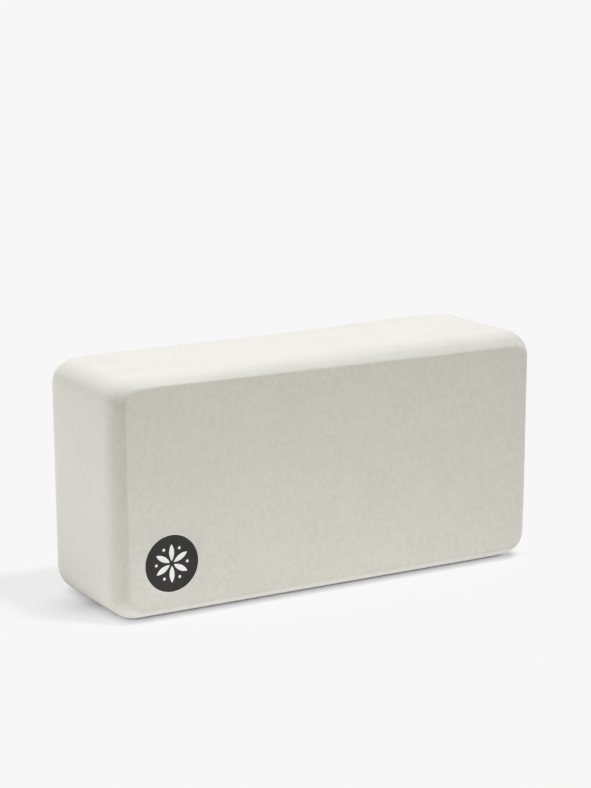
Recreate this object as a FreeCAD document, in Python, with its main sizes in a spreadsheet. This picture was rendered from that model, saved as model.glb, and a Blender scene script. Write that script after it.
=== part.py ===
"""Foam yoga block with a small round printed badge, as a parametric document.

Millimetres, +Z up. The block stands on its long narrow edge: +X runs along its length, -Y is the
side that carries the badge, and the origin is the middle of the face that it stands on.
"""
import FreeCAD
import Part
import Sketcher

import math
import os
from enum import IntEnum

Vector = FreeCAD.Vector

# Driving dimensions: each is one cell of the document's sheet.
SIZES = {
    # Block
    "block_length": 228.6,
    "block_depth": 76.2,
    "block_height": 114.3,
    "corner_radius": 12.7,
    # Round-over of both large faces: its run down the sides, and what it takes off the face's edge
    "roundover_depth": 13.2,
    "roundover_inset": 5.3,
    # Room that the round-over cutter keeps outside the block
    "cutter_overrun": 3.0,
    # Badge, placed from the block's left end and from its base
    "badge_diameter": 27.2,
    "badge_from_end": 27.4,
    "badge_from_base": 26.8,
    "badge_clearance": 0.1,
    "adhesive_thickness": 0.1,
    "underprint_thickness": 0.15,
    "face_thickness": 0.15,
    # Rosette cut through the badge's face: petals about its centre, and a dot between each two
    "petal_count": 6,
    "petal_root": 1.1,
    "petal_length": 8.2,
    "petal_width": 2.7,
    "dot_circle_radius": 8.0,
    "dot_diameter": 1.5,
}

# Places worked out from those cells
SPINE_START = "Sizes.block_length / 2 - Sizes.corner_radius"
FRONT_FACE = "Sizes.block_depth / 2"
BADGE_ACROSS = "Sizes.badge_from_end - Sizes.block_length / 2"
BADGE_UP = "Sizes.badge_from_base"
BADGE_STACK = "Sizes.adhesive_thickness + Sizes.underprint_thickness + Sizes.face_thickness"
SEAT_DIAMETER = "Sizes.badge_diameter + 2 * Sizes.badge_clearance"
PETAL_RADIUS = "(Sizes.petal_length ^ 2 + Sizes.petal_width ^ 2) / (4 * Sizes.petal_width)"
DOT_ACROSS = "Sizes.dot_circle_radius * sin(180 / Sizes.petal_count)"
DOT_UP = "Sizes.dot_circle_radius * cos(180 / Sizes.petal_count)"


class Point(IntEnum):
    """Which point of a sketch's element a constraint holds."""

    START = 1
    END = 2
    CENTRE = 3


class Axis(IntEnum):
    """A sketch's own axes, as constraints name them."""

    ACROSS = -1
    UP = -2


ORIGIN = (Axis.ACROSS, Point.START)


def make_sheet(doc):
    """Write the driving dimensions into the sheet, one aliased cell each."""
    sheet = doc.addObject("Spreadsheet::Sheet", "Sizes")
    for row, (name, value) in enumerate(SIZES.items(), start=1):
        sheet.set(f"A{row}", name)
        sheet.set(f"B{row}", str(value))
        sheet.setAlias(f"B{row}", name)
    doc.recompute()


def make_body(doc, label):
    """Add an empty body under the name of its piece."""
    body = doc.addObject("PartDesign::Body", label)
    body.Label = label
    return body


def origin_plane(body, role):
    """Find one of the body's own origin planes."""
    return next(item for item in body.Origin.OriginFeatures if item.Role == role)


def make_sketch(body, name, role, offset="0"):
    """Add a sketch on an origin plane, moved along the plane's normal by an expression."""
    sketch = body.newObject("Sketcher::SketchObject", name)
    sketch.AttachmentSupport = (origin_plane(body, role), [""])
    sketch.MapMode = "FlatFace"
    sketch.setExpression("AttachmentOffset.Base.z", offset)
    return sketch


def constrain(sketch, kind, *references):
    """Add a geometric constraint to a sketch."""
    sketch.addConstraint(Sketcher.Constraint(kind, *references))


def dimension(sketch, name, expression, kind, *references):
    """Add a named dimension to a sketch and bind it to an expression of the sheet's cells."""
    value = float(sketch.evalExpression(expression))
    index = sketch.addConstraint(Sketcher.Constraint(kind, *references, value))
    sketch.renameConstraint(index, name)
    sketch.setExpression(f"Constraints.{name}", expression)


def close_loop(sketch, elements, kind):
    """Join each element's end to the next one's start, all the way round."""
    for this, following in zip(elements, elements[1:] + elements[:1]):
        constrain(sketch, kind, this, Point.END, following, Point.START)


def line(sketch, start, end):
    """Draw a straight line and return its index."""
    return sketch.addGeometry(Part.LineSegment(Vector(*start, 0), Vector(*end, 0)))


def circle(sketch, centre, radius):
    """Draw a circle and return its index."""
    return sketch.addGeometry(Part.Circle(Vector(*centre, 0), Vector(0, 0, 1), radius))


def arc(sketch, centre, radius, first, last):
    """Draw an arc between two angles in degrees, anticlockwise, and return its index."""
    whole = Part.Circle(Vector(*centre, 0), Vector(0, 0, 1), radius)
    return sketch.addGeometry(Part.ArcOfCircle(whole, math.radians(first), math.radians(last)))


def pad(body, name, sketch, length):
    """Extrude a sketch along its normal by an expression."""
    feature = body.newObject("PartDesign::Pad", name)
    feature.Profile = sketch
    feature.setExpression("Length", length)
    return feature


def pocket(body, name, sketch, depth):
    """Cut a sketch into the body, against the sketch's normal, by an expression."""
    feature = body.newObject("PartDesign::Pocket", name)
    feature.Profile = sketch
    feature.setExpression("Length", depth)
    return feature


def polar_pattern(body, name, original, sketch, count):
    """Repeat a feature evenly about the normal through a sketch's origin."""
    feature = body.newObject("PartDesign::PolarPattern", name)
    feature.Originals = [original]
    feature.Axis = (sketch, ["N_Axis"])
    feature.Angle = 360
    feature.setExpression("Occurrences", count)
    body.Tip = feature
    return feature


def draw_outline(sketch):
    """Draw the block's front outline: a rectangle with round corners, standing on the X axis."""
    half = SIZES["block_length"] / 2
    top = SIZES["block_height"]
    radius = SIZES["corner_radius"]
    inner = half - radius
    outline = [
        line(sketch, (-inner, 0), (inner, 0)),
        arc(sketch, (inner, radius), radius, 270, 360),
        line(sketch, (half, radius), (half, top - radius)),
        arc(sketch, (inner, top - radius), radius, 0, 90),
        line(sketch, (inner, top), (-inner, top)),
        arc(sketch, (-inner, top - radius), radius, 90, 180),
        line(sketch, (-half, top - radius), (-half, radius)),
        arc(sketch, (-inner, radius), radius, 180, 270),
    ]
    base, right, upper, left = outline[0::2]
    first_corner, *other_corners = outline[1::2]
    close_loop(sketch, outline, "Tangent")
    constrain(sketch, "Vertical", right)
    constrain(sketch, "Horizontal", upper)
    constrain(sketch, "Vertical", left)
    constrain(sketch, "PointOnObject", base, Point.START, Axis.ACROSS)
    constrain(sketch, "Symmetric", base, Point.START, base, Point.END, Axis.UP)
    for corner in other_corners:
        constrain(sketch, "Equal", first_corner, corner)
    dimension(sketch, "corner", "Sizes.corner_radius", "Radius", first_corner)
    dimension(sketch, "length", "Sizes.block_length", "DistanceX", left, Point.END, right, Point.START)
    dimension(sketch, "height", "Sizes.block_height", "DistanceY", base, Point.END, upper, Point.START)


def draw_cutter(sketch):
    """Draw what the round-over cutter takes off along the front face's lower rim.

    The curve starts tangent to the base and meets the face in a crisp edge, so two sizes settle it:
    its run along the base and its rise up the face.
    """
    face = -SIZES["block_depth"] / 2
    run = SIZES["roundover_depth"]
    rise = SIZES["roundover_inset"]
    overrun = SIZES["cutter_overrun"]
    radius = (run**2 + rise**2) / (2 * rise)
    sweep = math.degrees(math.asin(run / radius))
    curve = arc(sketch, (face + run, radius), radius, 270 - sweep, 270)
    heel = line(sketch, (face + run, 0), (face + run, -overrun))
    sole = line(sketch, (face + run, -overrun), (face - overrun, -overrun))
    front = line(sketch, (face - overrun, -overrun), (face - overrun, rise))
    brow = line(sketch, (face - overrun, rise), (face, rise))
    close_loop(sketch, [curve, heel, sole, front, brow], "Coincident")
    constrain(sketch, "Vertical", heel)
    constrain(sketch, "Horizontal", sole)
    constrain(sketch, "Vertical", front)
    constrain(sketch, "Horizontal", brow)
    constrain(sketch, "Vertical", curve, Point.CENTRE, curve, Point.END)
    constrain(sketch, "PointOnObject", curve, Point.END, Axis.ACROSS)
    dimension(sketch, "face", FRONT_FACE, "DistanceX", curve, Point.START, *ORIGIN)
    dimension(sketch, "run", "Sizes.roundover_depth", "DistanceX", curve, Point.START, curve, Point.END)
    dimension(sketch, "rise", "Sizes.roundover_inset", "DistanceY", curve, Point.END, curve, Point.START)
    dimension(sketch, "ahead", "Sizes.cutter_overrun", "DistanceX", brow, Point.START, brow, Point.END)
    dimension(sketch, "below", "Sizes.cutter_overrun", "DistanceY", heel, Point.END, heel, Point.START)


def draw_disc(sketch, diameter):
    """Draw a circle about the sketch's origin."""
    rim = circle(sketch, (0, 0), float(sketch.evalExpression(diameter)) / 2)
    constrain(sketch, "Coincident", rim, Point.CENTRE, *ORIGIN)
    dimension(sketch, "diameter", diameter, "Diameter", rim)


def draw_offset_disc(sketch, across, up, diameter):
    """Draw a circle whose centre lies off the sketch's origin, across and up by expressions."""
    centre = (float(sketch.evalExpression(across)), float(sketch.evalExpression(up)))
    rim = circle(sketch, centre, float(sketch.evalExpression(diameter)) / 2)
    dimension(sketch, "across", across, "DistanceX", *ORIGIN, rim, Point.CENTRE)
    dimension(sketch, "up", up, "DistanceY", *ORIGIN, rim, Point.CENTRE)
    dimension(sketch, "diameter", diameter, "Diameter", rim)


def draw_petal(sketch):
    """Draw one upright petal: two equal arcs that meet in points at its root and its tip."""
    half_length = SIZES["petal_length"] / 2
    half_width = SIZES["petal_width"] / 2
    middle = SIZES["petal_root"] + half_length
    radius = (half_length**2 + half_width**2) / (2 * half_width)
    half_sweep = math.degrees(math.asin(half_length / radius))
    shift = radius - half_width
    right = arc(sketch, (-shift, middle), radius, -half_sweep, half_sweep)
    left = arc(sketch, (shift, middle), radius, 180 - half_sweep, 180 + half_sweep)
    close_loop(sketch, [right, left], "Coincident")
    constrain(sketch, "PointOnObject", right, Point.START, Axis.UP)
    constrain(sketch, "PointOnObject", right, Point.END, Axis.UP)
    constrain(sketch, "Equal", right, left)
    dimension(sketch, "root", "Sizes.petal_root", "DistanceY", *ORIGIN, right, Point.START)
    dimension(sketch, "reach", "Sizes.petal_length", "DistanceY", right, Point.START, right, Point.END)
    dimension(sketch, "curve", PETAL_RADIUS, "Radius", right)


def build_foam_block(doc):
    """Make the brick: its outline padded, both rims rounded over, and a shallow seat for the badge."""
    body = make_body(doc, "foam_block")
    outline = make_sketch(body, "block_outline", "XZ_Plane")
    draw_outline(outline)
    brick = pad(body, "brick", outline, "Sizes.block_depth")
    brick.Midplane = True

    cutter = make_sketch(body, "roundover_cutter", "YZ_Plane", SPINE_START)
    draw_cutter(cutter)
    front_rim = body.newObject("PartDesign::SubtractivePipe", "front_roundover")
    front_rim.Profile = cutter
    front_rim.Spine = (outline, [f"Edge{number}" for number in range(1, outline.GeometryCount + 1)])
    doc.recompute()

    back_rim = body.newObject("PartDesign::Mirrored", "back_roundover")
    back_rim.Originals = [front_rim]
    back_rim.MirrorPlane = (origin_plane(body, "XZ_Plane"), [""])
    body.Tip = back_rim

    seat_outline = make_sketch(body, "badge_seat_outline", "XZ_Plane", FRONT_FACE)
    draw_offset_disc(seat_outline, BADGE_ACROSS, BADGE_UP, SEAT_DIAMETER)
    seat = pocket(body, "badge_seat", seat_outline, BADGE_STACK)
    doc.recompute()

    expect_cut("front round-over", brick, front_rim)
    expect_cut("back round-over", front_rim, back_rim)
    expect_cut("badge seat", back_rim, seat)
    return body


def build_badge_layer(doc, label, thickness, layers_above):
    """Make one layer of the badge: a disc that faces -Y, at its depth under the layers above it."""
    body = make_body(doc, label)
    body.setExpression("Placement.Base.x", BADGE_ACROSS)
    body.setExpression("Placement.Base.y", f"{layers_above} + {thickness} - {FRONT_FACE}")
    body.setExpression("Placement.Base.z", BADGE_UP)
    outline = make_sketch(body, f"{label}_outline", "XZ_Plane")
    draw_disc(outline, "Sizes.badge_diameter")
    pad(body, f"{label}_disc", outline, thickness)
    doc.recompute()
    return body


def cut_rosette(doc, body):
    """Cut the petals and dots through the badge's face film."""
    thickness = "Sizes.face_thickness"
    disc = body.Tip
    petal_outline = make_sketch(body, "petal_outline", "XZ_Plane", thickness)
    draw_petal(petal_outline)
    petal = pocket(body, "petal", petal_outline, thickness)
    petals = polar_pattern(body, "petals", petal, petal_outline, "Sizes.petal_count")
    doc.recompute()

    dot_outline = make_sketch(body, "dot_outline", "XZ_Plane", thickness)
    draw_offset_disc(dot_outline, DOT_ACROSS, DOT_UP, "Sizes.dot_diameter")
    dot = pocket(body, "dot", dot_outline, thickness)
    dots = polar_pattern(body, "dots", dot, dot_outline, "Sizes.petal_count")
    doc.recompute()

    expect_cut("petals", disc, petals)
    expect_cut("dots", petals, dots)


def expect_cut(name, before, after):
    """Stop if a cut took nothing away."""
    taken = before.Shape.Volume - after.Shape.Volume
    if taken <= 0:
        raise RuntimeError(f"the {name} cut nothing")
    print(f"{name}: {taken:.3f} mm3 cut away")


def check_document(doc, bodies):
    """Stop if any object failed, or any piece isn't one valid solid."""
    failed = [item.Name for item in doc.Objects if {"Invalid", "Error"} & set(item.State)]
    if failed:
        raise RuntimeError(f"failed objects: {failed}")
    for body in bodies:
        shape = body.Shape
        if shape.isNull() or not shape.isValid() or len(shape.Solids) != 1:
            raise RuntimeError(f"{body.Label} is not one valid solid")


def write_pieces(bodies):
    """Write one file per piece, named after its label."""
    os.makedirs("parts", exist_ok=True)
    for body in bodies:
        body.Shape.exportStep(f"parts/{body.Label}.step")
        size = body.Shape.BoundBox
        print(f"{body.Label}: {size.XLength:.2f} x {size.YLength:.2f} x {size.ZLength:.2f} mm, "
              f"{body.Shape.Volume:.3f} mm3")


def main():
    """Build the document, check it and write its pieces."""
    doc = FreeCAD.newDocument("YogaBlock")
    make_sheet(doc)
    block = build_foam_block(doc)
    films_above = "Sizes.face_thickness + Sizes.underprint_thickness"
    adhesive = build_badge_layer(doc, "badge_adhesive", "Sizes.adhesive_thickness", films_above)
    underprint = build_badge_layer(
        doc, "badge_underprint", "Sizes.underprint_thickness", "Sizes.face_thickness"
    )
    face = build_badge_layer(doc, "badge_face", "Sizes.face_thickness", "0")
    cut_rosette(doc, face)
    pieces = [block, adhesive, underprint, face]
    check_document(doc, pieces)
    write_pieces(pieces)


main()
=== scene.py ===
"""Looks of a foam yoga block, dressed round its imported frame.

Metres, +Z up, in the frame's own axes: +X runs along the block and -Y is the side with the badge.
"""

import bisect
import logging
import math
from dataclasses import dataclass, field
from enum import Enum

import bmesh
import bpy
from mathutils import Matrix, Vector, noise


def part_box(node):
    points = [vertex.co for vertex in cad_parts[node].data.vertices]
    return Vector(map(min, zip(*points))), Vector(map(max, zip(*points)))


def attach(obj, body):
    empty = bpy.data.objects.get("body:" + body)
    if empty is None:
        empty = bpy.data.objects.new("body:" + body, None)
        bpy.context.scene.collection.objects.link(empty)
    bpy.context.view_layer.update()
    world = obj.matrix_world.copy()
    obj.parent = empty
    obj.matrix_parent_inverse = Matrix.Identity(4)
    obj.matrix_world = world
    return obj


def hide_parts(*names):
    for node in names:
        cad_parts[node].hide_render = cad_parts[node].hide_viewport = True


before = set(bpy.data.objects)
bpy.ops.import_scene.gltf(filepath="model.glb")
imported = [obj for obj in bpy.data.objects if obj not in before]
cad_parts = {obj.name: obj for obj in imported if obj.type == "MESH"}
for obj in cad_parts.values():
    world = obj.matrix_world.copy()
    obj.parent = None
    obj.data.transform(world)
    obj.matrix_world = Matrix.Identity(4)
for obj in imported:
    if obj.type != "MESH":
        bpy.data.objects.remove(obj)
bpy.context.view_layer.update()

LOG = logging.getLogger("yoga_block")
BODY = "root"
MM = 0.001
# Points closer together than this are one point
WELD = 1e-6
# A unit direction with more than this along an axis lies along that axis
SQUARE = 0.99

Colour = tuple[float, float, float]
Point = tuple[float, float, float]
Span = tuple[float, float]
Socket = bpy.types.NodeSocket

WHOLE: Span = (0.0, 1.0)
BLACK: Colour = (0.0, 0.0, 0.0)
WHITE: Colour = (1.0, 1.0, 1.0)


class Side(Enum):
    """The block's large faces, by the way they look along Y."""

    FRONT = -1
    BACK = 1


class Axis(Enum):
    """The frame's axes, by their place in a vector."""

    X = 0
    Y = 1
    Z = 2


class MixKind(Enum):
    """What a Mix node blends, with the places of its two inputs and of its result."""

    FLOAT = (2, 3, 0)
    RGBA = (6, 7, 2)


def mm(x: float, y: float, z: float) -> Point:
    """Return a point in metres from its millimetres."""
    return (x * MM, y * MM, z * MM)


def smooth_step(value: float, low: float, high: float) -> float:
    """Ease a value from 0 at low to 1 at high.

    Args:
        value: What is eased.
        low: Where the ease starts.
        high: Where it ends.

    Returns:
        A share from 0 to 1.
    """
    share = min(max((value - low) / (high - low), 0.0), 1.0)
    return share * share * (3 - 2 * share)


def direction(azimuth: float, elevation: float) -> Vector:
    """Find the direction from the block towards a place round it.

    Args:
        azimuth: Degrees from straight in front of the block, towards +X.
        elevation: Degrees above the floor.

    Returns:
        A unit vector.
    """
    turn, lift = math.radians(azimuth), math.radians(elevation)
    level = math.cos(lift)
    return Vector((math.sin(turn) * level, -math.cos(turn) * level, math.sin(lift)))


def place_object(name: str, data: bpy.types.ID) -> bpy.types.Object:
    """Put an object in the scene.

    Args:
        name: The object's name.
        data: Its mesh, light or camera.

    Returns:
        The object, at the origin.
    """
    item = bpy.data.objects.new(name, data)
    bpy.context.scene.collection.objects.link(item)
    return item


def mesh_object(name: str, shell: bmesh.types.BMesh) -> bpy.types.Object:
    """Turn a finished shape into an object of the scene.

    Args:
        name: The name of the object and its mesh.
        shell: The shape, which is freed.

    Returns:
        The object, at the origin.
    """
    mesh = bpy.data.meshes.new(name)
    shell.to_mesh(mesh)
    shell.free()
    return place_object(name, mesh)


class NodeGraph:
    """The nodes of a material or of the world, with short ways to add and join them."""

    def __init__(self, owner: bpy.types.Material | bpy.types.World) -> None:
        """Start without nodes.

        Args:
            owner: The material or world that the nodes belong to.
        """
        owner.use_nodes = True
        self.tree = owner.node_tree
        self.tree.nodes.clear()

    def add(self, kind: str, **settings: object) -> bpy.types.Node:
        """Add a node and set its properties.

        Args:
            kind: The node's type, without its ShaderNode prefix.
            settings: Properties to set, by name.

        Returns:
            The new node.
        """
        node = self.tree.nodes.new("ShaderNode" + kind)
        for key, value in settings.items():
            setattr(node, key, value)
        return node

    def put(self, value: object, target: Socket) -> None:
        """Link or set one input.

        Args:
            value: A socket to link, or a plain value to set.
            target: The input.
        """
        if isinstance(value, Socket):
            self.tree.links.new(value, target)
        else:
            target.default_value = value

    def feed(self, node: bpy.types.Node, **inputs: object) -> None:
        """Link or set a node's inputs.

        Args:
            node: The node whose inputs are fed.
            inputs: Sockets to link or values to set, by the input's name with _ for spaces.
        """
        for key, value in inputs.items():
            self.put(value, node.inputs[key.replace("_", " ")])

    def place(self) -> Socket:
        """Return the surface's own place, in object coordinates."""
        return self.add("TexCoord").outputs["Object"]

    def facing(self, axis: Axis) -> Socket:
        """Read how squarely the surface faces along an axis, either way.

        Args:
            axis: The axis.

        Returns:
            0 for not at all, 1 for fully.
        """
        parts = self.add("SeparateXYZ")
        self.feed(parts, Vector=self.add("TexCoord").outputs["Normal"])
        return self.combine("ABSOLUTE", parts.outputs[axis.name], 0.0)

    def drawn_out(self, axis: Axis, ratio: float) -> Socket:
        """Scale object coordinates along one axis, so that a pattern on them is drawn out there.

        Args:
            axis: The axis.
            ratio: The scale along it.

        Returns:
            The scaled coordinates.
        """
        scale = Vector((1.0, 1.0, 1.0))
        scale[axis.value] = ratio
        node = self.add("Mapping")
        self.feed(node, Vector=self.place(), Scale=scale)
        return node.outputs["Vector"]

    def noise(self, size: float, octaves: float, vector: Socket) -> Socket:
        """Add cloudy noise.

        Args:
            size: Width of its blotches, in metres.
            octaves: How many times finer noise is laid on top.
            vector: Its coordinates.

        Returns:
            Its value, about 0.5 on average.
        """
        node = self.add("TexNoise")
        self.feed(node, Vector=vector, Scale=1 / size, Detail=octaves)
        return node.outputs["Fac"]

    def cells(self, size: float) -> Socket:
        """Add the cells round many scattered points.

        Args:
            size: How far apart the points are, in metres.

        Returns:
            The distance to the nearest point.
        """
        node = self.add("TexVoronoi")
        self.feed(node, Vector=self.place(), Scale=1 / size)
        return node.outputs["Distance"]

    def remap(self, value: Socket, span: Span, to_span: Span = WHOLE) -> Socket:
        """Map a range of values onto another, clamped at both ends.

        Args:
            value: The socket that is mapped.
            span: The range that is read.
            to_span: What its two ends become.

        Returns:
            The mapped value.
        """
        node = self.add("MapRange")
        self.feed(node, Value=value)
        self.feed(node, From_Min=span[0], From_Max=span[1])
        self.feed(node, To_Min=to_span[0], To_Max=to_span[1])
        return node.outputs["Result"]

    def combine(self, operation: str, first: Socket | float, second: Socket | float) -> Socket:
        """Combine two values by a Math node.

        Args:
            operation: The Math node's operation.
            first: A socket or a number.
            second: A socket or a number.

        Returns:
            The result.
        """
        node = self.add("Math", operation=operation)
        for target, value in zip(node.inputs, (first, second)):
            self.put(value, target)
        return node.outputs["Value"]

    def weighed(self, *parts: tuple[Socket, float]) -> Socket:
        """Add several values up, each times its weight.

        Args:
            parts: The values with their weights.

        Returns:
            Their weighted sum.
        """
        total, *others = [self.combine("MULTIPLY", value, weight) for value, weight in parts]
        for term in others:
            total = self.combine("ADD", total, term)
        return total

    def mix(self, kind: MixKind, share: Socket, first: object, second: object) -> Socket:
        """Go from one value to another by a share.

        Args:
            kind: What the values are.
            share: 0 gives the first value, 1 the second.
            first: A socket or a plain value.
            second: A socket or a plain value.

        Returns:
            The blended value.
        """
        node = self.add("Mix", data_type=kind.name)
        first_place, second_place, result_place = kind.value
        self.feed(node, Factor=share)
        self.put(first, node.inputs[first_place])
        self.put(second, node.inputs[second_place])
        return node.outputs[result_place]

    def blend(self, share: Socket, first: Colour, second: Colour) -> Socket:
        """Return a linear colour that goes from the first to the second by a share."""
        return self.mix(MixKind.RGBA, share, (*first, 1.0), (*second, 1.0))

    def bump(self, height: Socket, depth: float) -> Socket:
        """Turn a relief into a normal.

        Args:
            height: The relief, from 0 to 1.
            depth: Metres from its lowest to its highest.

        Returns:
            The normal.
        """
        node = self.add("Bump")
        self.feed(node, Height=height, Distance=depth)
        return node.outputs["Normal"]

    def seen(self) -> Socket:
        """Tell the rays that show the studio: straight, mirrored or through glass.

        Returns:
            1 for such rays, 0 for others.
        """
        rays = self.add("LightPath").outputs
        mirrored = self.combine("MAXIMUM", rays["Is Camera Ray"], rays["Is Glossy Ray"])
        return self.combine("MAXIMUM", mirrored, rays["Is Transmission Ray"])

    def join(self, kind: str, first: Socket, second: Socket, **inputs: object) -> Socket:
        """Join two shaders.

        Args:
            kind: AddShader or MixShader.
            first: A shader.
            second: A shader.
            inputs: The node's other inputs, by name.

        Returns:
            The joined shader.
        """
        node = self.add(kind)
        self.feed(node, **inputs)
        shader_inputs = list(node.inputs)[-2:]
        for shader, target in zip((first, second), shader_inputs):
            self.put(shader, target)
        return node.outputs["Shader"]

    def close(self, kind: str, shader: Socket) -> None:
        """Show a shader as the surface of a kind of output."""
        self.feed(self.add(kind), Surface=shader)

    def surface(self, **inputs: object) -> None:
        """Close a material with a surface shader.

        Args:
            inputs: The shader's inputs, by name with _ for spaces.
        """
        shader = self.add("BsdfPrincipled")
        self.feed(shader, **inputs)
        self.close("OutputMaterial", shader.outputs["BSDF"])


@dataclass(frozen=True)
class Layer:
    """One layer of a finish: cloudy noise, which may be drawn out into lines of some length.

    Its tone and relief are its weights in the finish's colour and height.
    """

    width: float
    octaves: float
    length: float | None = None
    tone: float = 0.0
    relief: float = 0.0

    def lay(self, graph: NodeGraph, along: Axis | None = None) -> Socket:
        """Add the layer to a material.

        Args:
            graph: The material's nodes.
            along: The axis that it is drawn out along, or None for even noise.

        Returns:
            Its value, about 0.5 on average.
        """
        if along is None:
            return graph.noise(self.width, self.octaves, graph.place())
        vector = graph.drawn_out(along, self.width / self.length)
        return graph.noise(self.width, self.octaves, vector)


@dataclass(frozen=True)
class FoamFinish:
    """Matte closed-cell foam: cut cells, a fine even grain and faint lines left by the knife."""

    light: Colour = (0.680, 0.662, 0.600)
    dark: Colour = (0.624, 0.606, 0.548)
    tone_span: Span = (0.38, 0.62)
    # Cut cells, and the layers over them
    cell_size: float = 0.45 * MM
    cell_span: Span = (0.0, 0.5)
    cell_relief: float = 0.20
    grain: Layer = Layer(1.1 * MM, octaves=2.0, tone=0.33, relief=0.38)
    clumps: Layer = Layer(2.6 * MM, octaves=2.0, tone=0.36, relief=0.30)
    lines: Layer = Layer(0.9 * MM, octaves=1.0, length=45 * MM, tone=0.13, relief=0.12)
    bands: Layer = Layer(4.5 * MM, octaves=2.0, length=110 * MM, tone=0.3)
    mottle: Layer = Layer(26 * MM, octaves=3.0, tone=0.18)
    relief_depth: float = 0.26 * MM
    # How squarely a face is an end before its lines stand upright, or level before it has bands
    end_span: Span = (0.35, 0.65)
    level_span: Span = (0.6, 0.9)
    # Gloss: the grain's range, and the roughness at its two ends
    rough_span: Span = (0.3, 0.7)
    roughness: Span = (0.82, 0.94)
    specular: float = 0.3
    sheen: float = 0.12
    sheen_roughness: float = 0.45

    def knife_lines(self, graph: NodeGraph) -> Socket:
        """Lay fine lines along the length on most faces, and upright on the two ends.

        Args:
            graph: The material's nodes.

        Returns:
            The lines' height.
        """
        along = self.lines.lay(graph, Axis.X)
        upright = self.lines.lay(graph, Axis.Z)
        at_end = graph.remap(graph.facing(Axis.X), self.end_span)
        return graph.mix(MixKind.FLOAT, at_end, along, upright)

    def skiving(self, graph: NodeGraph, clumps: Socket) -> Socket:
        """Lay long bands over the clumps of the upper and under faces, along the length.

        Args:
            graph: The material's nodes.
            clumps: The clumps that they take the place of.

        Returns:
            What to add to the tone: 0 on the other faces.
        """
        bands = self.bands.lay(graph, Axis.X)
        level = graph.remap(graph.facing(Axis.Z), self.level_span)
        return graph.combine("MULTIPLY", level, graph.combine("SUBTRACT", bands, clumps))

    def material(self) -> bpy.types.Material:
        """Make the finish.

        Returns:
            The finish as a material.
        """
        material = bpy.data.materials.new("foam")
        graph = NodeGraph(material)
        grain = self.grain.lay(graph)
        clumps = self.clumps.lay(graph)
        bands = self.skiving(graph, clumps)
        mottle = self.mottle.lay(graph)
        pits = graph.remap(graph.cells(self.cell_size), self.cell_span)
        lines = self.knife_lines(graph)
        tone = graph.weighed(
            (grain, self.grain.tone),
            (clumps, self.clumps.tone),
            (mottle, self.mottle.tone),
            (lines, self.lines.tone),
            (bands, self.bands.tone),
        )
        height = graph.weighed(
            (pits, self.cell_relief),
            (grain, self.grain.relief),
            (clumps, self.clumps.relief),
            (lines, self.lines.relief),
        )
        graph.surface(
            Base_Color=graph.blend(graph.remap(tone, self.tone_span), self.dark, self.light),
            Roughness=graph.remap(grain, self.rough_span, self.roughness),
            Normal=graph.bump(height, self.relief_depth),
            Specular_IOR_Level=self.specular,
            Sheen_Weight=self.sheen,
            Sheen_Roughness=self.sheen_roughness,
        )
        return material


@dataclass(frozen=True)
class FilmFinish:
    """Satin transfer film that has taken a little of the foam's grain."""

    name: str
    light: Colour
    dark: Colour
    roughness: Span
    grain: Layer = Layer(0.9 * MM, octaves=2.0)
    wear: Layer = Layer(8.1 * MM, octaves=3.0)
    tone_span: Span = (0.35, 0.65)
    rough_span: Span = (0.3, 0.7)
    relief_depth: float = 0.03 * MM
    specular: float = 0.3

    def material(self) -> bpy.types.Material:
        """Make the finish.

        Returns:
            The finish as a material.
        """
        material = bpy.data.materials.new(self.name)
        graph = NodeGraph(material)
        grain = self.grain.lay(graph)
        wear = self.wear.lay(graph)
        graph.surface(
            Base_Color=graph.blend(graph.remap(wear, self.tone_span), self.dark, self.light),
            Roughness=graph.remap(wear, self.rough_span, self.roughness),
            Normal=graph.bump(grain, self.relief_depth),
            Specular_IOR_Level=self.specular,
        )
        return material


BLACK_FILM = FilmFinish(
    "black_film",
    light=(0.024, 0.0235, 0.0215),
    dark=(0.016, 0.0155, 0.0135),
    roughness=(0.49, 0.61),
)
WHITE_FILM = FilmFinish(
    "white_film",
    light=(0.90, 0.90, 0.88),
    dark=(0.85, 0.85, 0.83),
    roughness=(0.49, 0.61),
)
HOT_MELT = FilmFinish(
    "hot_melt",
    light=(0.72, 0.69, 0.60),
    dark=(0.64, 0.61, 0.52),
    roughness=(0.29, 0.41),
)


@dataclass(frozen=True)
class Spot:
    """A round patch of the block that fades out from its middle."""

    centre: Point
    reach: float
    amount: float = 1.0

    def share(self, place: Vector) -> float:
        """Return the amount at the spot's centre, easing to 0 at its reach."""
        left = 1 - (place - Vector(self.centre)).length_squared / self.reach**2
        return self.amount * max(left, 0.0) ** 2


@dataclass(frozen=True)
class Touch(Spot):
    """A patch where trimming left the foam a little off its nominal shape."""

    shift: Point = (0.0, 0.0, 0.0)

    def move(self, place: Vector) -> Vector:
        """Return a point's shift."""
        return Vector(self.shift) * self.share(place)


# Where the front's edge is softer: down its left side, along its base and at its upper right corner
SOFT_SPOTS = (
    Spot(mm(-110, -38, 110), reach=26 * MM),
    Spot(mm(-110, -38, 57), reach=70 * MM, amount=0.35),
    Spot(mm(-110, -38, 5), reach=60 * MM),
    Spot(mm(0, -38, 5), reach=110 * MM),
    Spot(mm(105, -38, 5), reach=60 * MM),
    Spot(mm(108, -38, 109), reach=22 * MM, amount=0.6),
)
# Where the top and the right end stand high, low or in
TOUCHES = (
    Touch(mm(112, -31, 109), reach=27 * MM, shift=mm(0.2, 0, 0.5)),
    Touch(mm(110, -2, 113), reach=44 * MM, shift=mm(0, 0, -0.5)),
    Touch(mm(112, -25, 4), reach=30 * MM, shift=mm(-0.5, 0, 0.3)),
    Touch(mm(5, 32, 114), reach=60 * MM, shift=mm(0, 0, -0.4)),
    Touch(mm(110, 28, 112), reach=34 * MM, shift=mm(0, 0, -0.5)),
)


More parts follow.
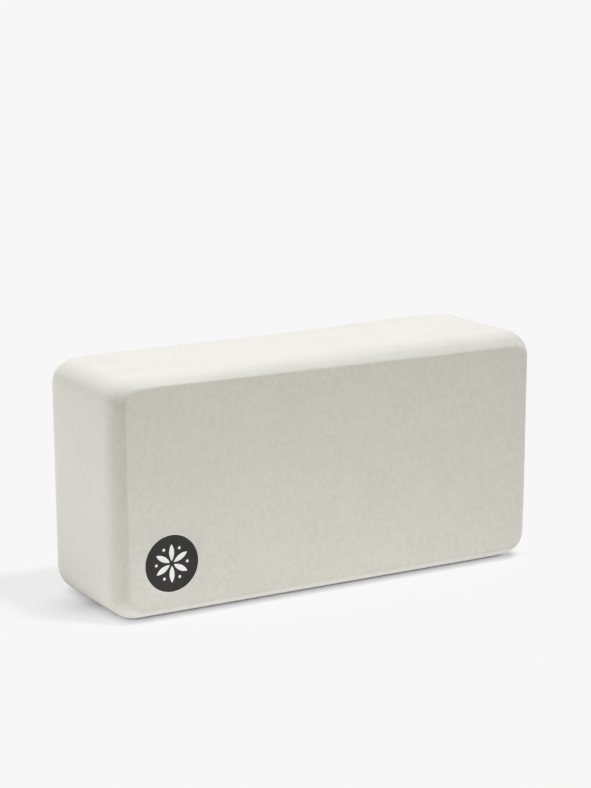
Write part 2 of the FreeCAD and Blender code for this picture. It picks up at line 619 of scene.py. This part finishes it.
@dataclass
class Badge:
    """The round heat-applied badge: its films lie in a shallow seat in the foam's front."""

    adhesive: str = "badge_adhesive"
    underprint: str = "badge_underprint"
    face: str = "badge_face"
    clearance: float = 0.1 * MM
    centre: Vector = field(init=False)
    seat_radius: float = field(init=False)
    seat_depth: float = field(init=False)

    def __post_init__(self) -> None:
        """Read the badge's place and size from the frame."""
        low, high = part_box(self.face)
        self.centre = (low + high) / 2
        self.centre.y = low.y
        self.seat_radius = (high.x - low.x) / 2 + self.clearance
        self.seat_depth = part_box(self.adhesive)[1].y - low.y

    def dress(self) -> list[bpy.types.Object]:
        """Give each layer its finish.

        Returns:
            The layers' objects.
        """
        finishes = {self.adhesive: HOT_MELT, self.underprint: WHITE_FILM, self.face: BLACK_FILM}
        for name, finish in finishes.items():
            material = finish.material()
            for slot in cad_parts[name].material_slots:
                slot.material = material
        return [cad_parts[name] for name in finishes]


@dataclass
class FoamBlock:
    """The brick of foam, with rims rolled over to a crisp edge round both large faces."""

    badge: Badge
    node: str = "foam_block"
    piece: str = "foam_brick"
    # Outline, and the roll round each large face
    corner_radius: float = 12.7 * MM
    corner_steps: int = 16
    roll_depth: float = 13.2 * MM
    roll_inset: float = 5.3 * MM
    roll_steps: int = 24
    # Edge between roll and face, where it is crisp and where it is soft
    edge_radius: float = 0.9 * MM
    soft_radius: float = 2.6 * MM
    soft_fade: float = 6 * MM
    edge_steps: int = 4
    edge_margin: float = 0.8 * MM
    # Cells that the walls and faces are divided into
    grid: float = 3 * MM
    # Rounded lip of the badge's seat
    lip_radius: float = 0.15 * MM
    lip_steps: int = 3
    seat_segments: int = 128
    # Front's upper edge: its height over the nominal line at both ends, how far down the face that
    # reaches, and where it starts and is full, from the left end
    lift_left: float = 2.25 * MM
    lift_right: float = -1.1 * MM
    lift_reach: float = 25 * MM
    lift_start: float = -5 * MM
    lift_full: float = 24 * MM
    # Right end: its slope outwards, the height that stays in place, and how far along the slope reaches
    lean: float = 0.0175
    lean_pivot: float = 48 * MM
    lean_reach: float = 80 * MM
    # Ripple that the cutter left on the rolls, and where it starts, is full and fades out again
    ripple: float = 0.05 * MM
    ripple_back: float = 0.015 * MM
    ripple_width: float = 1.3 * MM
    ripple_length: float = 90 * MM
    ripple_start: float = 0.2 * MM
    ripple_full: float = 1.5 * MM
    ripple_fade: float = 2 * MM
    # Slow swell of the foam, with a finer one on it, and its distance from the floor and the badge
    swell: float = 0.09 * MM
    swell_size: float = 55 * MM
    fine_swell: float = 0.35
    fine_swell_size: float = 16.5 * MM
    calm_height: float = 14 * MM
    calm_margin: float = 1 * MM
    soft_spots: tuple[Spot, ...] = SOFT_SPOTS
    touches: tuple[Touch, ...] = TOUCHES
    low: Vector = field(init=False)
    high: Vector = field(init=False)
    length: float = field(init=False)
    depth: float = field(init=False)
    height: float = field(init=False)
    section: list[tuple[float, float]] = field(init=False)
    stations: list[float] = field(init=False)
    gaps: list[Vector] = field(init=False)

    def __post_init__(self) -> None:
        """Read the block's size from the frame, and work out its rim, crisp and soft."""
        self.low, self.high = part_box(self.node)
        self.length, self.depth, self.height = self.high - self.low
        self.section = self.rim_section(self.edge_radius)
        soft = self.rim_section(self.soft_radius)
        self.stations = [inset + rise for inset, rise in self.section]
        self.stations.append(self.stations[-1] + self.soft_fade)
        self.gaps = [Vector(rounder) - Vector(crisp) for rounder, crisp in zip(soft, self.section)]
        self.gaps.append(Vector((0.0, 0.0)))

    def rim_section(self, edge: float) -> list[tuple[float, float]]:
        """Work out the rolled rim's section, from the side wall to the face.

        Args:
            edge: Radius of the edge where the roll meets the face.

        Returns:
            Points as (inset from the wall, rise towards the face).
        """
        run, inset = self.roll_depth, self.roll_inset
        radius = (run**2 + inset**2) / (2 * inset)
        turn = math.asin((run - edge) / (radius - edge))
        edge_inset = radius - (radius - edge) * math.cos(turn)
        section = []
        for step in range(self.roll_steps + 1):
            angle = turn * step / self.roll_steps
            section.append((radius * (1 - math.cos(angle)), radius * math.sin(angle)))
        for step in range(1, self.edge_steps + 1):
            angle = turn + (math.pi / 2 - turn) * step / self.edge_steps
            section.append((edge_inset - edge * math.cos(angle), run - edge + edge * math.sin(angle)))
        section.append((edge_inset + self.edge_margin, run))
        return section

    def seat_section(self) -> list[tuple[float, float]]:
        """Work out the badge seat's lip and wall.

        Returns:
            Steps as (move towards the centre, move into the foam).
        """
        steps = []
        last_in, last_down = 0.0, 0.0
        for step in range(1, self.lip_steps + 1):
            angle = math.pi / 2 * step / self.lip_steps
            inward = self.lip_radius * math.sin(angle)
            down = self.lip_radius * (1 - math.cos(angle))
            steps.append((inward - last_in, down - last_down))
            last_in, last_down = inward, down
        steps.append((0.0, self.badge.seat_depth - last_down))
        return steps

    def raise_walls(self, shell: bmesh.types.BMesh) -> None:
        """Make the band between the two rolls, with the outline's round corners.

        Args:
            shell: An empty shape.
        """
        bmesh.ops.create_cube(shell, size=1.0)
        walls = (self.length, self.depth - 2 * self.roll_depth, self.height)
        bmesh.ops.scale(shell, vec=walls, verts=shell.verts)
        bmesh.ops.translate(shell, vec=(self.low + self.high) / 2, verts=shell.verts)
        runs = {edge: (edge.verts[0].co - edge.verts[1].co).normalized() for edge in shell.edges}
        bmesh.ops.bevel(
            shell,
            geom=[edge for edge, run in runs.items() if abs(run.y) > SQUARE],
            offset=self.corner_radius,
            offset_type="OFFSET",
            affect="EDGES",
            segments=self.corner_steps,
            profile=0.5,
            material=-1,
        )
        shell.normal_update()

    def roll_rims(self, shell: bmesh.types.BMesh) -> None:
        """Step both large faces in along the rim's section.

        Args:
            shell: The band of walls.
        """
        for side in Side:
            face = next(item for item in shell.faces if item.normal.y * side.value > SQUARE)
            for (inset, rise), (next_inset, next_rise) in zip(self.section, self.section[1:]):
                bmesh.ops.inset_region(
                    shell,
                    faces=[face],
                    thickness=next_inset - inset,
                    depth=next_rise - rise,
                    use_boundary=True,
                    use_even_offset=True,
                )

    def cut_grid(self, shell: bmesh.types.BMesh) -> None:
        """Divide the walls and faces into small cells, so that they can be uneven.

        Args:
            shell: The brick with its rims rolled.
        """
        for axis in Axis:
            low, high = self.low[axis.value], self.high[axis.value]
            if axis is Axis.Y:
                low, high = low + self.roll_depth, high - self.roll_depth
            count = round((high - low) / self.grid)
            for step in range(1, count):
                place, normal = Vector(), Vector()
                place[axis.value] = low + (high - low) * step / count
                normal[axis.value] = 1.0
                everything = [*shell.verts, *shell.edges, *shell.faces]
                bmesh.ops.bisect_plane(
                    shell, geom=everything, dist=WELD, plane_co=place, plane_no=normal
                )
        shell.normal_update()

    def sink_seat(self, shell: bmesh.types.BMesh) -> None:
        """Open the front round the badge and sink a shallow seat with a soft lip there.

        Args:
            shell: The brick, divided into cells.
        """
        centre, radius = self.badge.centre, self.badge.seat_radius
        patch_half = math.ceil((radius + self.grid) / self.grid) * self.grid
        front = [
            face
            for face in shell.faces
            if face.normal.y < -SQUARE
            and abs(face.calc_center_median().x - centre.x) < patch_half
            and abs(face.calc_center_median().z - centre.z) < patch_half
        ]
        bmesh.ops.delete(shell, geom=front, context="FACES")
        rim = [edge for edge in shell.edges if edge.is_boundary]
        turned = Matrix.Translation(centre) @ Matrix.Rotation(math.pi / 2, 4, "X")
        ring = bmesh.ops.create_circle(
            shell, segments=self.seat_segments, radius=radius + self.lip_radius, matrix=turned
        )["verts"]
        loop = list(dict.fromkeys(edge for vert in ring for edge in vert.link_edges))
        bmesh.ops.bridge_loops(shell, edges=rim + loop)
        for shrink, sink in self.seat_section():
            made = bmesh.ops.extrude_edge_only(shell, edges=loop)["geom"]
            verts = [item for item in made if isinstance(item, bmesh.types.BMVert)]
            loop = [item for item in made if isinstance(item, bmesh.types.BMEdge)]
            for vert in verts:
                spoke = vert.co - centre
                spoke.y = 0.0
                vert.co -= spoke.normalized() * shrink
                vert.co.y += sink
        bmesh.ops.edgeloop_fill(shell, edges=loop)

    def rim_facing(self, place: Vector) -> tuple[Vector, float]:
        """Find where a point stands against the block's outline, seen from the front.

        Args:
            place: A point of the block.

        Returns:
            The outline's outward direction there, and how far inside the outline the point is.
        """
        radius = self.corner_radius
        core_x = min(max(place.x, self.low.x + radius), self.high.x - radius)
        core_z = min(max(place.z, self.low.z + radius), self.high.z - radius)
        spoke = Vector((place.x - core_x, 0.0, place.z - core_z))
        if spoke.length < WELD:
            return Vector((0.0, 0.0, 1.0)), self.high.z - place.z
        return spoke.normalized(), radius - spoke.length

    def soften(self, place: Vector) -> Vector:
        """Work out how far a worn or softly cut edge moves one point of the rim.

        Args:
            place: A point of the nominal surface.

        Returns:
            Its shift.
        """
        outward, inset = self.rim_facing(place)
        along = inset + abs(place.y) - self.depth / 2 + self.roll_depth
        step = bisect.bisect_right(self.stations, along, 1, len(self.stations) - 1)
        start, end = self.stations[step - 1], self.stations[step]
        between = min(max((along - start) / (end - start), 0.0), 1.0)
        share = max(spot.share(place) for spot in self.soft_spots)
        inward, up = self.gaps[step - 1].lerp(self.gaps[step], between) * share
        return Vector((0.0, up if place.y > 0 else -up, 0.0)) - outward * inward

    def lift(self, place: Vector) -> Vector:
        """Work out how far the front's upper edge stands above its nominal line at one point.

        Args:
            place: A point of the nominal surface.

        Returns:
            Its shift.
        """
        outward, inset = self.rim_facing(place)
        if place.y > 0 or outward.z <= 0:
            return Vector()
        from_left = place.x - self.low.x
        lift = self.lift_left + (self.lift_right - self.lift_left) * from_left / self.length
        lift *= smooth_step(from_left, self.lift_start, self.lift_full) * outward.z**2
        if inset < self.roll_inset:
            return outward * lift * max(inset / self.roll_inset, 0.0)
        return outward * lift * max(1 - (inset - self.roll_inset) / self.lift_reach, 0.0)

    def ripples(self, place: Vector) -> float:
        """Work out the cutter's ripple on the rolls at one point.

        Args:
            place: A point of the nominal surface.

        Returns:
            How far the surface stands out.
        """
        to_face = self.depth / 2 - abs(place.y)
        on_roll = smooth_step(to_face, self.ripple_start, self.ripple_full)
        on_roll *= smooth_step(self.roll_depth - to_face, 0.0, self.ripple_fade)
        across = to_face / self.ripple_width
        line = Vector((across, place.x / self.ripple_length, place.z / self.ripple_length))
        return noise.noise(line) * on_roll * (self.ripple if place.y < 0 else self.ripple_back)

    def swells(self, place: Vector) -> float:
        """Work out the foam's slow swell at one point.

        Args:
            place: A point of the nominal surface.

        Returns:
            How far the surface stands out.
        """
        radius = self.badge.seat_radius
        swell = noise.noise(place / self.swell_size)
        swell += self.fine_swell * noise.noise(place / self.fine_swell_size)
        from_badge = (place - self.badge.centre).length
        return swell * smooth_step(from_badge, radius + self.calm_margin, 2 * radius) * self.swell

    def uneven(self, vert: bmesh.types.BMVert) -> Vector:
        """Work out how far trimming left one point of the surface off its nominal place.

        Args:
            vert: A point of the nominal surface.

        Returns:
            Its shift.
        """
        place = vert.co
        relief = self.ripples(place) + self.swells(place)
        off_floor = smooth_step(place.z, 0.0, self.calm_height)
        shift = self.soften(place) + self.lift(place) + vert.normal * (relief * off_floor)
        near_end = smooth_step(place.x, self.high.x - self.lean_reach, self.high.x)
        shift.x += self.lean * (place.z - self.lean_pivot) * near_end
        for touch in self.touches:
            shift += touch.move(place)
        return shift

    def build(self) -> bpy.types.Object:
        """Model the brick.

        Returns:
            Its object, in place.
        """
        shell = bmesh.new()
        self.raise_walls(shell)
        self.roll_rims(shell)
        self.cut_grid(shell)
        self.sink_seat(shell)
        bmesh.ops.remove_doubles(shell, verts=shell.verts, dist=WELD)
        bmesh.ops.recalc_face_normals(shell, faces=shell.faces)
        shell.normal_update()
        shifts = [self.uneven(vert) for vert in shell.verts]
        for vert, shift in zip(shell.verts, shifts):
            vert.co += shift
        for face in shell.faces:
            face.smooth = True
        return mesh_object(self.piece, shell)

    def dress(self, brick: bpy.types.Object) -> None:
        """Give the brick its finish and its place in the frame.

        Args:
            brick: The brick's object.
        """
        brick.data.materials.append(FoamFinish().material())
        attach(brick, BODY)
        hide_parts(self.node)


@dataclass(frozen=True)
class Pool:
    """A round patch of light or shade on the floor, strongest in its middle."""

    centre: Point
    reach: float
    strength: float

    def lay(self, graph: NodeGraph) -> Socket:
        """Add the patch to the floor's material.

        Args:
            graph: The material's nodes.

        Returns:
            The patch's strength at each place of the floor.
        """
        away = graph.add("VectorMath", operation="DISTANCE")
        for value, target in zip((graph.place(), self.centre), away.inputs):
            graph.put(value, target)
        return graph.remap(away.outputs["Value"], (0.0, self.reach), (self.strength, 0.0))


# Light that the floor throws back up
POOLS = (
    Pool(mm(0, 0, 0), reach=750 * MM, strength=1.185),
    Pool(mm(-420, 100, 0), reach=320 * MM, strength=2.14),
    Pool(mm(0, -300, 0), reach=250 * MM, strength=0.57),
    Pool(mm(-150, -100, 0), reach=120 * MM, strength=0.32),
)
# Where the block keeps that light off the floor
DIM = Pool(mm(-118, 45, 0), reach=52 * MM, strength=0.6)
# Shade close to the block's left end and under its lower right corner
SHADES = (
    Pool(mm(-106, 2, 0), reach=33 * MM, strength=0.69),
    Pool(mm(-106, -18, 0), reach=15 * MM, strength=0.4),
    Pool(mm(106, -29, 0), reach=11 * MM, strength=0.5),
)


@dataclass(frozen=True)
class FloorFinish:
    """White sweep: it shows one even shade with the block's shadow on it, cast by a lamp, with painted
    shade close under and beside the block, and throws light back up.
    """

    glow: float = 0.755
    paper: Colour = (0.0505, 0.05, 0.0495)
    contact_reach: float = 4.6 * MM
    contact_curve: float = 0.19
    contact_samples: int = 8
    shade_curve: float = 2.0
    pools: tuple[Pool, ...] = POOLS
    dim: Pool = DIM
    shades: tuple[Pool, ...] = SHADES

    def painted_contact_shade(self, graph: NodeGraph) -> Socket:
        """Work out the shade painted into the floor: darker close under the block and beside its ends.

        Args:
            graph: The material's nodes.

        Returns:
            A share from 0 to 1.
        """
        nearby = graph.add("AmbientOcclusion", samples=self.contact_samples)
        graph.feed(nearby, Distance=self.contact_reach)
        share = graph.combine("POWER", nearby.outputs["AO"], self.contact_curve)
        for shade in self.shades:
            depth = graph.combine("POWER", shade.lay(graph), self.shade_curve)
            share = graph.combine("MULTIPLY", share, graph.combine("SUBTRACT", 1.0, depth))
        return share

    def bounce(self, graph: NodeGraph) -> Socket:
        """Work out the light that the floor throws back up: little from where the block shades it.

        Args:
            graph: The material's nodes.

        Returns:
            The light's strength.
        """
        total = graph.weighed(*[(pool.lay(graph), 1.0) for pool in self.pools])
        return graph.combine("MULTIPLY", total, graph.combine("SUBTRACT", 1.0, self.dim.lay(graph)))

    def material(self) -> bpy.types.Material:
        """Make the finish.

        Returns:
            The finish as a material.
        """
        material = bpy.data.materials.new("floor")
        graph = NodeGraph(material)
        # Painted shade darkens both the floor's glow and its paper close to the block
        painted_contact_shade = self.painted_contact_shade(graph)
        lit = graph.add("BsdfDiffuse")
        graph.feed(lit, Color=graph.blend(painted_contact_shade, BLACK, self.paper))
        glow = graph.add("Emission")
        graph.feed(glow, Strength=graph.combine("MULTIPLY", painted_contact_shade, self.glow))
        shown = graph.join("AddShader", glow.outputs["Emission"], lit.outputs["BSDF"])
        thrown = graph.add("Emission")
        graph.feed(thrown, Strength=graph.combine("MULTIPLY", painted_contact_shade, self.bounce(graph)))
        both = graph.join("MixShader", thrown.outputs["Emission"], shown, Fac=graph.seen())
        graph.close("OutputMaterial", both)
        return material


@dataclass(frozen=True)
class Softbox:
    """A far soft light, by where it stands, seen from the block."""

    name: str
    azimuth: float
    elevation: float
    spread: float
    strength: float
    tint: Colour = WHITE
    for_floor: bool = False

    def hang(self) -> bpy.types.Object:
        """Add the light to the scene.

        Returns:
            The light's object.
        """
        light = bpy.data.lights.new(self.name, "SUN")
        light.energy = self.strength * math.pi
        light.angle = math.radians(self.spread)
        light.color = self.tint
        light.use_shadow = self.for_floor
        towards = direction(self.azimuth, self.elevation)
        lamp = place_object(self.name, light)
        lamp.rotation_euler = towards.to_track_quat("Z", "Y").to_euler()
        lamp.location = towards
        return lamp


COOL: Colour = (0.97, 1.0, 1.04)
WARM: Colour = (1.035, 1.0, 0.94)
SOFTBOXES = (
    Softbox("key", azimuth=66.0, elevation=64.0, spread=16.0, strength=0.855, tint=COOL),
    Softbox("back", azimuth=-150.0, elevation=38.0, spread=22.0, strength=0.68, tint=COOL),
    Softbox("front", azimuth=-25.0, elevation=12.0, spread=50.0, strength=0.263, tint=WARM),
    Softbox("shade", azimuth=44.3, elevation=68.3, spread=7.0, strength=2.25, for_floor=True),
)


@dataclass
class Studio:
    """A pale sweep of floor, soft lights all round and the camera at the photograph's place."""

    aim: Vector
    # Camera: its direction and tilt in degrees, its lens in millimetres, and how far it is moved aside
    yaw: float = -29.422
    pitch: float = 12.756
    roll: float = -0.575
    distance: float = 1.3020
    lens: float = 122.13
    shift_right: float = 0.57 * MM
    shift_up: float = 31.37 * MM
    # Floor, what shows beyond it, and the light from all round
    floor_half: float = 6.0
    floor: FloorFinish = FloorFinish()
    backdrop: float = 0.93
    ambient: float = 0.125
    softboxes: tuple[Softbox, ...] = SOFTBOXES

    def lay_floor(self) -> bpy.types.Object:
        """Lay the floor.

        Returns:
            The floor's object.
        """
        sheet = bmesh.new()
        bmesh.ops.create_grid(sheet, x_segments=1, y_segments=1, size=self.floor_half)
        floor = mesh_object("floor", sheet)
        floor.data.materials.append(self.floor.material())
        return floor

    def keep_to_floor(self, lamp: bpy.types.Object, floor: bpy.types.Object) -> None:
        """Let a lamp light the floor alone, where it casts the block's shadow.

        Args:
            lamp: The lamp's object.
            floor: The floor's object.
        """
        lit = bpy.data.collections.new("floor_only")
        lit.objects.link(floor)
        lamp.light_linking.receiver_collection = lit

    def fill_world(self) -> None:
        """Light the block a little from all round, and show the backdrop's shade beyond the floor."""
        world = bpy.data.worlds.new("studio")
        graph = NodeGraph(world)
        back = graph.add("Background")
        level = graph.mix(MixKind.FLOAT, graph.seen(), self.ambient, self.backdrop)
        graph.feed(back, Color=(*WHITE, 1.0), Strength=level)
        graph.close("OutputWorld", back.outputs["Background"])
        bpy.context.scene.world = world

    def set_camera(self) -> None:
        """Put the camera at the photograph's viewing angle."""
        roll = math.radians(self.roll)
        back = direction(self.yaw, self.pitch)
        level_right = Vector((0.0, 0.0, 1.0)).cross(back).normalized()
        level_up = back.cross(level_right)
        right = level_right * math.cos(roll) + level_up * math.sin(roll)
        up = level_up * math.cos(roll) - level_right * math.sin(roll)
        eye = self.aim + back * self.distance + right * self.shift_right + up * self.shift_up
        data = bpy.data.cameras.new("camera")
        data.lens = self.lens
        camera = place_object("camera", data)
        turned = Matrix((right, up, back)).transposed().to_4x4()
        camera.matrix_world = Matrix.Translation(eye) @ turned
        bpy.context.scene.camera = camera

    def build(self) -> None:
        """Set up the floor, the lights and the camera."""
        floor = self.lay_floor()
        self.fill_world()
        for softbox in self.softboxes:
            lamp = softbox.hang()
            if softbox.for_floor:
                self.keep_to_floor(lamp, floor)
        self.set_camera()
        bpy.context.scene.view_settings.view_transform = "Standard"


def report(piece: bpy.types.Object) -> None:
    """Log a piece's name and number of faces."""
    LOG.info("%s: %d faces", piece.name, len(piece.data.polygons))


def main() -> None:
    """Build every piece, then the studio round them."""
    logging.basicConfig(level=logging.INFO)
    badge = Badge()
    block = FoamBlock(badge)
    brick = block.build()
    block.dress(brick)
    report(brick)
    for layer in badge.dress():
        report(layer)
    Studio(aim=(block.low + block.high) / 2).build()


if __name__ == "__main__":
    main()
